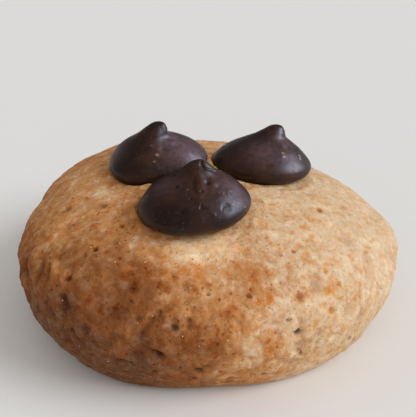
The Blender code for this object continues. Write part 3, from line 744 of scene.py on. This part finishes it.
def crust_relief(bare, normals):
    """How far the crust stands out from the bare body, and how dark its pits, creases and hollows are
    painted, as shade.
    """
    out = np.zeros(len(bare))
    for size, height in LUMPS:
        out += height * noise_field(bare, size, LUMP_SHIFT * size)
    dark = np.zeros(len(bare))
    for middle, radius, depth in solid_pits():
        away = np.linalg.norm(bare - middle, axis=1) / radius
        dip = np.where(away < PIT_REACH, np.exp(-PIT_STEEPNESS * away**2), 0)
        out -= depth * dip
        dark = np.maximum(dark, PIT_DARKNESS * depth * dip)
    side = smooth_step((CREASE_END - normals[:, 2]) / CREASE_FADE)
    creases = noise_field(bare, CREASE_SIZE, DOUGH_NOISE_SHIFT, CREASE_STRETCH)
    crease = np.exp(-((creases / CREASE_WIDTH) ** 2)) * side
    out -= CREASE_DEPTH * crease
    grain = np.zeros(len(bare))
    for size, height, octaves in GRAIN:
        grain += height * crumb_field(bare, size, DOUGH_NOISE_SHIFT * size, octaves)
    rugged = dark_flank(bare)
    grain *= 1 + FLANK_RUGGEDNESS * rugged
    hollow = smooth_step(-grain / HOLLOW_DEPTH) * (CALM_HOLLOWS + (1 - CALM_HOLLOWS) * rugged)
    shade = np.maximum(CREASE_DARKNESS * crease, HOLLOW_DARKNESS * hollow)
    return out + grain, np.maximum(dark, shade)


def pressed(out, points, tree, spots, lines, dark_depth, line_darkness):
    """Sinks a relief where marks were read from the photograph, and tells how dark they are painted as shade,
    the deeper the darker.
    """
    dark = np.zeros(len(points))
    for x, y, radius, depth in spots:
        away = np.linalg.norm(points - on_surface(tree, x, y), axis=1) / radius
        dip = np.exp(-(away**3))
        out -= depth * dip
        dark = np.maximum(dark, dip * min(1.0, max(0.0, depth) / dark_depth))
    for line, width, depth in lines:
        dip = near_line(points, [on_surface(tree, x, y) for x, y in line], width)
        out -= depth * dip
        dark = np.maximum(dark, line_darkness * dip * min(1.0, max(0.0, depth) / dark_depth))
    return out, dark


def patches(points, tree, marks):
    """How strongly a kind of patch shows at each point."""
    shown = np.zeros(len(points))
    for x, y, radius, strength in marks:
        shown = np.maximum(shown, strength * near(points, on_surface(tree, x, y), radius))
    return shown


def add_patches(values, points, tree, marks):
    """Adds broad patches to the values of points."""
    for x, y, radius, strength in marks:
        values += strength * near(points, on_surface(tree, x, y), radius)
    return values


def browning_and_shade(points, tree):
    """How browned the crust is, with painted shade away from the lamps in the same value: more on the left
    half and at the foot, less at the right.
    """
    wander = BORDER_WANDER * noise_field(points, BORDER_WANDER_SIZE, BORDER_NOISE_SHIFT)
    leftward = smooth_step((SHADE_AND_BROWN_BORDER - points[:, 0] + wander) / SHADE_AND_BROWN_BORDER_WIDTH)
    low = smooth_step((LOW_TOP - points[:, 2]) / LOW_SPAN)
    brown_and_shade = BROWN_EVEN + BROWN_AND_SHADE_LEFT * leftward + BROWN_AND_SHADE_LOW_LEFT * low * leftward
    brown_and_shade = brown_and_shade + BROWN_AND_SHADE_FLANK * dark_flank(points) + BROWN_AND_SHADE_LOW * low
    return np.clip(add_patches(brown_and_shade, points, tree, BROWNED_AND_SHADED), 0, BROWN_AND_SHADE_MOST)


def make_dough():
    """The cookie's body, and the values painted on its points by name."""
    data, directions = fine_body()
    bare = body_points(directions, FINE_UNDERSIDE_LATITUDE)
    normals = outward(bare)
    swelled = bare + swell(bare)[:, None] * towards(bare - SWELL_CENTRE)
    relief, dark = crust_relief(bare, normals)
    fade = smooth_step(bare[:, 2] / RELIEF_FADE_HEIGHT)
    crust = swelled + normals * (relief * fade)[:, None]
    set_mesh_points(data, crust)
    tree = surface_tree(data)
    flat = np.zeros(len(crust))
    marked, hole_shade = pressed(flat, crust, tree, HOLES, FOLDS, DARK_DEPTH, FOLD_DARKNESS)
    points, feet = press_seats(crust + normals * (marked * fade)[:, None])

    share = np.hypot(points[:, 0], points[:, 1]) / plan_radius(np.arctan2(points[:, 1], points[:, 0]))
    rim = RIM_RISE * np.clip((share - RESTING_SHARE) / (UNDERSIDE_SHARE - RESTING_SHARE), 0, 1)
    points[:, 2] = np.maximum(rim, points[:, 2])
    set_mesh_points(data, inside_box(points))

    tints = {
        # The first two are painted shade in pits, creases, hollows and holes
        "pit_and_crease_shade": np.clip(dark, 0, 1),
        "hole_shade": np.clip(hole_shade, 0, 1),
        "foot": feet,
        # Browning, with painted shade on the side away from the lamps
        "brown_and_shade": browning_and_shade(crust, tree),
        "honey": patches(crust, tree, HONEY),
        "blush": patches(crust, tree, BLUSH),
        "grey": patches(crust, tree, GREY),
        "flour": patches(crust, tree, FLOUR),
        # Painted light below the front chip
        "light": add_patches(np.zeros(len(crust)), crust, tree, PAINTED_LIGHT_AND_SHADE),
    }
    for name, values in tints.items():
        paint(data, name, values)
    return place_mesh("cookie_dough", data), tints


def inside_box(points):
    """Keeps points in millimetres inside the box of the solids."""
    low, high = np.array(cad_box) / MM
    return np.clip(points, low, high)


def icosahedron():
    golden = (1 + math.sqrt(5)) / 2
    corners = [(0, a, b * golden) for a in (-1, 1) for b in (-1, 1)]
    corners = [turned for c in corners for turned in (c, c[1:] + c[:1], c[2:] + c[:2])]
    mesh = bmesh.new()
    for corner in corners:
        mesh.verts.new(Vector(corner).normalized())
    bmesh.ops.convex_hull(mesh, input=mesh.verts[:])
    mesh.verts.index_update()
    shape = np.array([tuple(vertex.co) for vertex in mesh.verts])
    faces = np.array([[vertex.index for vertex in face.verts] for face in mesh.faces])
    mesh.free()
    return shape, faces


def surface_spots(data, tints, count, likely, draw):
    """Random places on the crust, drawn where they are likely: the face's corner, the place, the normal."""
    corners = np.empty(len(data.loops), np.int32)
    data.loops.foreach_get("vertex_index", corners)
    corners = corners.reshape(-1, 4)
    quads = mesh_points(data)[corners]
    across = np.cross(quads[:, 2] - quads[:, 0], quads[:, 3] - quads[:, 1])
    open_crust = (tints["foot"][corners].max(1) < UNDER_CHIP) & (quads[:, :, 2].min(1) > LOWEST_CRUMB)
    weight = np.linalg.norm(across, axis=1) * open_crust * likely[corners[:, 0]]
    chosen = np.searchsorted(np.cumsum(weight) / weight.sum(), draw.random(count))
    u, v = draw.random((2, count, 1))
    a, b, c, d = quads[chosen].transpose(1, 0, 2)
    places = (1 - u) * (1 - v) * a + u * (1 - v) * b + u * v * c + (1 - u) * v * d
    return corners[chosen, 0], places, towards(across[chosen])


def make_stones(name, places, normals, sizes, flatness, sunk, draw):
    """Many small uneven stones in one mesh, each lying flat on the crust and sunk into it."""
    shape, faces = icosahedron()
    count = len(places)
    side = towards(np.cross(normals, draw.normal(size=(count, 3))))
    across = np.cross(normals, side)
    widths = draw.uniform(*STONE_WIDTHS, (2, count, 1, 1))
    rough = draw.uniform(*STONE_ROUGHNESS, (count, len(shape), 1))
    local = shape[None] * rough * sizes[:, None, None]
    out = (
        local[:, :, 0:1] * widths[0] * side[:, None]
        + local[:, :, 1:2] * widths[1] * across[:, None]
        + local[:, :, 2:3] * flatness * normals[:, None]
    )
    middles = places - normals * (sizes * flatness * sunk)[:, None]
    points = inside_box((middles[:, None] + out).reshape(-1, 3))
    faces = (faces[None] + len(shape) * np.arange(count)[:, None, None]).reshape(-1, 3)
    return new_object(name, points, faces.tolist()), len(shape)


def marked_spots(data, marks):
    """The places of marks on the finished crust, and its normals there."""
    points, normals = mesh_points(data), vectors(data.vertex_normals, "vector")
    tree = surface_tree(data)
    places = np.array([on_surface(tree, x, y) for x, y, *_ in marks])
    nearest = np.array([np.argmin(np.linalg.norm(points - place, axis=1)) for place in places])
    return nearest, places, normals[nearest]


def mostly_small(smallest, largest, count, draw):
    """Random sizes, of which more are small than large."""
    return smallest + (largest - smallest) * draw.random(count) ** 2


def scatter_crumbs(body, tints, dough, bran, sugar):
    """Crumbs of the crust, flecks of bran and grains of sugar, each kind in one mesh."""
    draw = np.random.default_rng(SCATTER_SEED)
    data = body.data
    even = np.ones(len(data.vertices))
    speckled = LEAST_BRAN + tints["brown_and_shade"]
    crumbly = even + FOOT_CRUMBS * tints["foot"]
    kinds = []

    corner, places, normals = surface_spots(data, tints, CRUMB_COUNT, crumbly, draw)
    sizes = mostly_small(CRUMB_SMALLEST, CRUMB_LARGEST, CRUMB_COUNT, draw)
    kinds.append(("crumbs", dough, corner, places, normals, sizes, CRUMB_SHAPE))

    corner, places, normals = surface_spots(data, tints, BRAN_COUNT, speckled, draw)
    sizes = mostly_small(BRAN_SMALLEST, BRAN_LARGEST, BRAN_COUNT, draw)
    kinds.append(("bran_flecks", bran, corner, places, normals, sizes, BRAN_SHAPE))

    corner, places, normals = surface_spots(data, tints, SUGAR_COUNT, even, draw)
    sizes = draw.uniform(SUGAR_SMALLEST, SUGAR_LARGEST, SUGAR_COUNT)
    seen_corner, seen_places, seen_normals = marked_spots(data, SUGAR)
    corner = np.concatenate([corner, seen_corner])
    places = np.concatenate([places, seen_places])
    normals = np.concatenate([normals, seen_normals])
    sizes = np.concatenate([sizes, [SEEN_SUGAR_SHARE * size for *_, size in SUGAR]])
    kinds.append(("sugar_grains", sugar, corner, places, normals, sizes, SUGAR_SHAPE))

    for name, material, corner, places, normals, sizes, shape in kinds:
        made, per_stone = make_stones(name, places, normals, sizes, *shape, draw)
        for tint, values in tints.items():
            paint(made.data, tint, np.repeat(values[corner], per_stone))
        paint(made.data, "grain", np.repeat(draw.random(len(places)), per_stone))
        made.data.materials.append(material)
        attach(made, "root")


def make_chip(name, chip):
    path = smooth_path(CHIP_OUTLINE, FINE_RINGS_PER_SPAN)[:-1]
    up, necked, full = path.T
    angle = 2 * math.pi * np.arange(FINE_SIDES) / FINE_SIDES
    reach = chip_reach(chip, up[:, None], necked[:, None], full[:, None], angle[None, :])
    lean = chip["lean"] * smooth_step((up - LEAN_START) / (1 - LEAN_START))
    lean_to = math.radians(chip["lean_to"])
    x = lean[:, None] * math.cos(lean_to) + reach * np.cos(angle)
    y = lean[:, None] * math.sin(lean_to) + reach * np.sin(angle)
    z = np.repeat(up[:, None] * chip["height"], FINE_SIDES, 1)
    local = np.stack([x, y, z], -1).reshape(-1, 3)
    tip = [chip["lean"] * math.cos(lean_to), chip["lean"] * math.sin(lean_to), chip["height"]]
    base, axes = chip_axes(chip)
    points = np.vstack([local, tip]) @ axes.T + base
    rings = len(path)
    faces = [tuple(range(FINE_SIDES - 1, -1, -1))]
    for ring in range(rings - 1):
        start = ring * FINE_SIDES
        for side in range(FINE_SIDES):
            after = (side + 1) % FINE_SIDES
            faces.append((start + side, start + after, start + FINE_SIDES + after, start + FINE_SIDES + side))
    start = (rings - 1) * FINE_SIDES
    for side in range(FINE_SIDES):
        faces.append((start + side, start + (side + 1) % FINE_SIDES, len(points) - 1))
    made = new_object(name + "_chocolate", points, faces)
    mark_chip(made.data, name)
    return made


def mark_chip(data, name):
    """Presses pits and creases into a chip's skin, raises its bumps, and gives it an uneven surface."""
    points, normals = mesh_points(data), vectors(data.vertex_normals, "vector")
    tree = surface_tree(data)
    out = CHIP_WAVES * noise_field(points, CHIP_WAVE_SIZE, CHIP_NOISE_SHIFT)
    out += CHIP_GRAIN * crumb_field(points, CHIP_GRAIN_SIZE, CHIP_NOISE_SHIFT, 2)
    spots, lines = CHIP_MARKS[name], CHIP_CREASES[name]
    out, dark = pressed(out, points, tree, spots, lines, CHIP_DARK_DEPTH, 1.0)
    set_mesh_points(data, inside_box(points + normals * out[:, None]))
    # Painted shade in the chip's pits and creases
    paint(data, "crease", dark)
    # Greyish bloom with a painted sheen of reflected light
    paint(data, "bloom_and_sheen", patches(points, tree, CHIP_BLOOM_AND_SHEEN[name]))
    # Painted light: warmer where the light falls on the chip
    paint(data, "lit_warmth", patches(points, tree, CHIP_LIT_WARMTH[name]))
    # Pale specks, one of them a painted glint
    paint(data, "speck_and_glint", patches(points, tree, CHIP_SPECKS_AND_GLINT[name]))


def studio():
    """The floor, the lights and the camera."""
    bpy.ops.mesh.primitive_plane_add(size=FLOOR_SIZE, location=(0, 0, 0))
    floor = bpy.context.object
    floor.name = "floor"
    material = bpy.data.materials.new("floor")
    material.use_nodes = True
    shader = material.node_tree.nodes["Principled BSDF"]
    shader.inputs["Base Color"].default_value = FLOOR_COLOUR
    shader.inputs["Roughness"].default_value = 0.9
    shader.inputs["Specular IOR Level"].default_value = 0.0
    floor.data.materials.append(material)

    for name, azimuth, elevation, strength, spread, shown_by, colour in LIGHTS:
        light = bpy.data.lights.new(name, "SUN")
        light.energy = strength
        light.angle = math.radians(spread)
        light.color = colour
        lamp = bpy.data.objects.new(name, light)
        place = Vector(direction_of(math.radians(azimuth), math.radians(elevation))[0])
        lamp.rotation_euler = place.to_track_quat("Z", "Y").to_euler()
        lamp.location = place
        lamp.visible_glossy = shown_by == "gloss"
        lamp.visible_diffuse = shown_by == "diffuse"
        bpy.context.scene.collection.objects.link(lamp)

    world = bpy.data.worlds.new("studio")
    world.use_nodes = True
    background = world.node_tree.nodes["Background"]
    background.inputs["Color"].default_value = WORLD_COLOUR
    background.inputs["Strength"].default_value = WORLD_STRENGTH
    bpy.context.scene.world = world

    data = bpy.data.cameras.new("camera")
    data.sensor_width = SENSOR_WIDTH
    data.lens = FOCAL_PIXELS / max(PHOTO_WIDTH, PHOTO_HEIGHT) * SENSOR_WIDTH
    data.clip_start = 0.001
    camera = bpy.data.objects.new("camera", data)
    place, _ = photo_ray(PHOTO_WIDTH / 2, PHOTO_HEIGHT / 2)
    camera.location = place * MM
    camera.rotation_euler = (math.pi / 2 - CAMERA_ELEVATION, 0, 0)
    bpy.context.scene.collection.objects.link(camera)
    bpy.context.scene.camera = camera
    bpy.context.scene.view_settings.view_transform = "Standard"


class Nodes:
    """A material's nodes, added one by one and joined as they are made."""

    def __init__(self, name):
        self.material = bpy.data.materials.new(name)
        self.material.use_nodes = True
        self.tree = self.material.node_tree
        self.shader = self.tree.nodes["Principled BSDF"]
        place = self.add("ShaderNodeTexCoord")
        spread = self.add("ShaderNodeMapping")
        spread.inputs["Scale"].default_value = (1 / MM, 1 / MM, 1 / MM)
        self.tree.links.new(place.outputs["Object"], spread.inputs["Vector"])
        self.place = spread.outputs["Vector"]

    def add(self, kind, **settings):
        made = self.tree.nodes.new(kind)
        for key, value in settings.items():
            setattr(made, key, value)
        return made

    def put(self, socket, value):
        if isinstance(value, bpy.types.NodeSocket):
            self.tree.links.new(value, socket)
        else:
            socket.default_value = value

    def noise(self, scale, detail=2.0, rough=0.5, place=None, output="Fac"):
        made = self.add("ShaderNodeTexNoise")
        self.put(made.inputs["Vector"], place or self.place)
        self.put(made.inputs["Scale"], scale)
        self.put(made.inputs["Detail"], detail)
        self.put(made.inputs["Roughness"], rough)
        return made.outputs[output]

    def warped(self, scale, reach):
        """The place, pushed about by noise, which makes patterns irregular."""
        push = self.noise(scale, 2.0, 0.5, output="Color")
        made = self.add("ShaderNodeVectorMath", operation="MULTIPLY_ADD")
        self.put(made.inputs[0], push)
        self.put(made.inputs[1], (reach, reach, reach))
        self.put(made.inputs[2], self.place)
        return made.outputs[0]

    def cells(self, scale, place=None):
        made = self.add("ShaderNodeTexVoronoi")
        self.put(made.inputs["Vector"], place or self.place)
        self.put(made.inputs["Scale"], scale)
        return made.outputs["Distance"]

    def span(self, value, low, high, to_low=0.0, to_high=1.0):
        made = self.add("ShaderNodeMapRange", interpolation_type="SMOOTHSTEP")
        self.put(made.inputs["Value"], value)
        self.put(made.inputs["From Min"], low)
        self.put(made.inputs["From Max"], high)
        self.put(made.inputs["To Min"], to_low)
        self.put(made.inputs["To Max"], to_high)
        return made.outputs["Result"]

    def math(self, operation, a, b=0.0, c=0.0):
        made = self.add("ShaderNodeMath", operation=operation)
        for socket, value in zip(made.inputs, (a, b, c)):
            self.put(socket, value)
        return made.outputs[0]

    def mix(self, share, a, b):
        made = self.add("ShaderNodeMix", data_type="RGBA")
        self.put(made.inputs[0], share)
        self.put(made.inputs[6], a)
        self.put(made.inputs[7], b)
        return made.outputs[2]

    def tint(self, share, colour, shade):
        """Darkens a colour by a shade, in shares."""
        made = self.add("ShaderNodeMix", data_type="RGBA", blend_type="MULTIPLY")
        self.put(made.inputs[0], share)
        self.put(made.inputs[6], colour)
        self.put(made.inputs[7], shade)
        return made.outputs[2]

    def brighter(self, colour, value):
        made = self.add("ShaderNodeHueSaturation")
        self.put(made.inputs["Value"], value)
        self.put(made.inputs["Color"], colour)
        return made.outputs[0]

    def painted(self, name):
        return self.add("ShaderNodeAttribute", attribute_name=name).outputs["Fac"]

    def patch(self, name, edge):
        """A painted patch that fades out unevenly from its middle."""
        uneven = self.math("MULTIPLY_ADD", edge, 1.7, 0.15)
        return self.math("MULTIPLY", self.painted(name), uneven)

    def bump(self, height, distance, strength):
        made = self.add("ShaderNodeBump")
        self.put(made.inputs["Height"], height)
        self.put(made.inputs["Distance"], distance)
        self.put(made.inputs["Strength"], strength)
        return made.outputs["Normal"]


def dough_material():
    n = Nodes("dough")
    warped = n.warped(0.9, 0.9)
    broad = n.noise(0.22, 3.0, 0.55)
    blotches = n.noise(0.70, 3.0, 0.58, warped)
    edge = n.noise(2.2, 3.0, 0.65, warped)
    fine = n.noise(3.2, 2.0, 0.5)

    # The level follows the painted browning, which carries painted shade on the left and low down, so its
    # darker colours stand partly for shade
    level = n.math("MULTIPLY_ADD", broad, 0.5, n.painted("brown_and_shade"))
    level = n.math("MULTIPLY_ADD", blotches, 1.0, level)
    level = n.math("MULTIPLY_ADD", fine, 0.25, level)
    level = n.math("SUBTRACT", level, 0.925)
    colour = n.mix(n.span(level, -0.05, 0.50), CREAM, HONEY_CREAM)
    colour = n.mix(n.span(level, 0.40, 0.95), colour, TOASTED)
    colour = n.mix(n.span(level, 0.90, 1.60), colour, DARK_TOASTED)

    pale = n.span(n.noise(0.85, 3.0, 0.6, n.warped(1.7, 0.6)), 0.46, 0.70)
    pale = n.math("MULTIPLY", pale, n.span(level, 0.8, -0.1, 0.10, 0.60))
    colour = n.mix(pale, colour, PALE_CREAM)
    flecks = n.span(n.noise(1.0, 3.0, 0.62, warped), 0.51, 0.66)
    flecks = n.math("MULTIPLY", flecks, n.span(level, 0.1, 0.8, 0.75, 0.45))
    colour = n.tint(flecks, colour, HONEY_AND_FOOT_SHADE_TINT)
    dots = n.span(n.cells(1.25, n.warped(2.0, 0.5)), 0.27, 0.10)
    dots = n.math("MULTIPLY", dots, n.span(n.noise(0.7, 1.0), 0.32, 0.52))
    dots = n.math("MULTIPLY", dots, n.span(n.painted("brown_and_shade"), 0.0, 0.5, 0.25, 1.0))
    colour = n.tint(dots, colour, DOT_AND_PIT_SHADE_TINT)

    colour = n.tint(n.span(n.patch("grey", edge), 0.1, 1.0), colour, GREY_TINT)
    flour = n.span(n.patch("flour", edge), 0.1, 1.0)
    flour = n.math("MULTIPLY", flour, n.span(n.painted("brown_and_shade"), 0.1, 0.9, 0.65, 0.25))
    colour = n.mix(flour, colour, PALE_CREAM)
    colour = n.tint(n.span(n.patch("honey", edge), 0.1, 0.9), colour, HONEY_AND_FOOT_SHADE_TINT)
    blush = n.patch("blush", edge)
    colour = n.tint(n.span(blush, 0.05, 0.6, 0.0, 0.55), colour, HONEY_AND_FOOT_SHADE_TINT)
    colour = n.tint(n.span(blush, 0.35, 1.1), colour, RED_TINT)

    # Painted shade in pits, creases, hollows and holes, the deeper ones darker
    colour = n.tint(n.span(n.painted("pit_and_crease_shade"), 0.0, 0.45, 0.0, 0.8), colour, DOT_AND_PIT_SHADE_TINT)
    colour = n.mix(n.span(n.painted("hole_shade"), 0.15, 0.95, 0.0, 0.9), colour, HOLE_SHADE_BROWN)
    # Painted shade: a warmer, darker tint round the chips' feet, where their shadow falls
    colour = n.tint(n.span(n.painted("foot"), 0.0, 0.9, 0.0, 0.2), colour, HONEY_AND_FOOT_SHADE_TINT)
    tone = n.math("MULTIPLY_ADD", n.noise(2.6, 2.0, 0.5), 0.30, 0.85)
    tone = n.math("MULTIPLY_ADD", n.painted("grain"), 0.10, tone)
    # Painted light: brighter below the front chip, where its shadow falls
    tone = n.math("ADD", tone, n.painted("light"))
    n.put(n.shader.inputs["Base Color"], n.brighter(colour, tone))

    n.put(n.shader.inputs["Roughness"], n.span(fine, 0.3, 0.7, 0.55, 0.80))
    n.shader.inputs["Specular IOR Level"].default_value = 0.10
    n.shader.inputs["Subsurface Weight"].default_value = 0.45
    n.shader.inputs["Subsurface Radius"].default_value = (1.0, 0.5, 0.25)
    n.shader.inputs["Subsurface Scale"].default_value = 0.0012

    pores = n.span(n.cells(2.3, warped), 0.30, 0.05)
    height = n.math("MULTIPLY_ADD", pores, -0.4, n.noise(2.2, 2.5, 0.5))
    n.put(n.shader.inputs["Normal"], n.bump(height, BUMP_DISTANCE, 0.7))
    return n.material


def bran_material():
    n = Nodes("bran")
    colour = n.mix(n.painted("grain"), HONEY_SPOT, RED_SPOT)
    colour = n.mix(n.span(n.noise(2.5, 2.0), 0.4, 0.7, 0.0, 0.5), colour, TOASTED)
    # Darker where the crust is browned and painted shaded
    colour = n.brighter(colour, n.span(n.painted("brown_and_shade"), 0.0, 1.2, 1.0, 0.45))
    n.put(n.shader.inputs["Base Color"], colour)
    n.put(n.shader.inputs["Roughness"], n.span(n.noise(4.0), 0.3, 0.7, 0.45, 0.65))
    return n.material


def sugar_material():
    n = Nodes("sugar")
    colour = n.mix(n.painted("grain"), SUGAR_WHITE, SUGAR_AMBER)
    # More amber where the crust is browned and painted shaded
    colour = n.mix(n.span(n.painted("brown_and_shade"), 0.4, 1.0, 0.0, 0.5), colour, SUGAR_AMBER)
    n.put(n.shader.inputs["Base Color"], colour)
    n.put(n.shader.inputs["Roughness"], n.span(n.noise(6.0), 0.3, 0.7, 0.30, 0.45))
    n.shader.inputs["Subsurface Weight"].default_value = 0.4
    n.shader.inputs["Subsurface Scale"].default_value = 0.0004
    return n.material


def chocolate_material():
    n = Nodes("chocolate")
    broad = n.noise(0.30, 2.0)
    fine = n.noise(1.6, 3.0, 0.6, n.warped(0.8, 0.8))
    colour = n.mix(n.span(broad, 0.45, 0.70, 0.0, 0.5), CHOCOLATE, CHOCOLATE_WARM_AND_LIT)
    # Painted light: warmer where the light falls on the chips
    lit_warmth = n.math("MULTIPLY", n.painted("lit_warmth"), n.span(fine, 0.2, 0.6, 0.4, 1.0))
    colour = n.mix(lit_warmth, colour, CHOCOLATE_WARM_AND_LIT)
    colour = n.mix(n.span(fine, 0.55, 0.8, 0.0, 0.3), colour, CHOCOLATE_BLOOM_AND_SHEEN)
    # Greyish bloom with a painted sheen of reflected light
    bloom_and_sheen = n.math("MULTIPLY", n.painted("bloom_and_sheen"), n.span(fine, 0.25, 0.6, 0.5, 1.0))
    colour = n.mix(bloom_and_sheen, colour, CHOCOLATE_BLOOM_AND_SHEEN)
    # Painted shade in the creases and pits
    colour = n.mix(n.span(n.painted("crease"), 0.1, 0.9, 0.0, 0.8), colour, CHOCOLATE_CREASE_SHADE)
    specks = n.span(n.cells(1.15), 0.10, 0.05)
    colour = n.mix(n.math("MULTIPLY", specks, 0.2), colour, CHOCOLATE_SPECK_AND_GLINT)
    # Pale specks, one of them a painted glint
    colour = n.mix(n.span(n.painted("speck_and_glint"), 0.2, 0.7, 0.0, 0.9), colour, CHOCOLATE_SPECK_AND_GLINT)
    n.put(n.shader.inputs["Base Color"], colour)
    n.put(n.shader.inputs["Roughness"], n.span(fine, 0.3, 0.7, 0.37, 0.49))
    n.shader.inputs["Specular IOR Level"].default_value = 0.24
    pores = n.span(n.cells(1.5), 0.16, 0.03)
    pores = n.math("MULTIPLY", pores, n.span(n.noise(0.6, 1.0), 0.48, 0.56))
    height = n.math("SUBTRACT", n.math("MULTIPLY", n.noise(2.0, 2.0), 0.30), pores)
    n.put(n.shader.inputs["Normal"], n.bump(height, BUMP_DISTANCE, 0.22))
    return n.material


def main():
    studio()
    dough = dough_material()
    body, tints = make_dough()
    body.data.materials.append(dough)
    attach(body, "root")
    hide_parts("cookie")
    scatter_crumbs(body, tints, dough, bran_material(), sugar_material())
    chocolate = chocolate_material()
    for name, chip in CHIPS.items():
        made = make_chip(name, chip)
        made.data.materials.append(chocolate)
        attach(made, "root")
        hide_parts(name)


main()
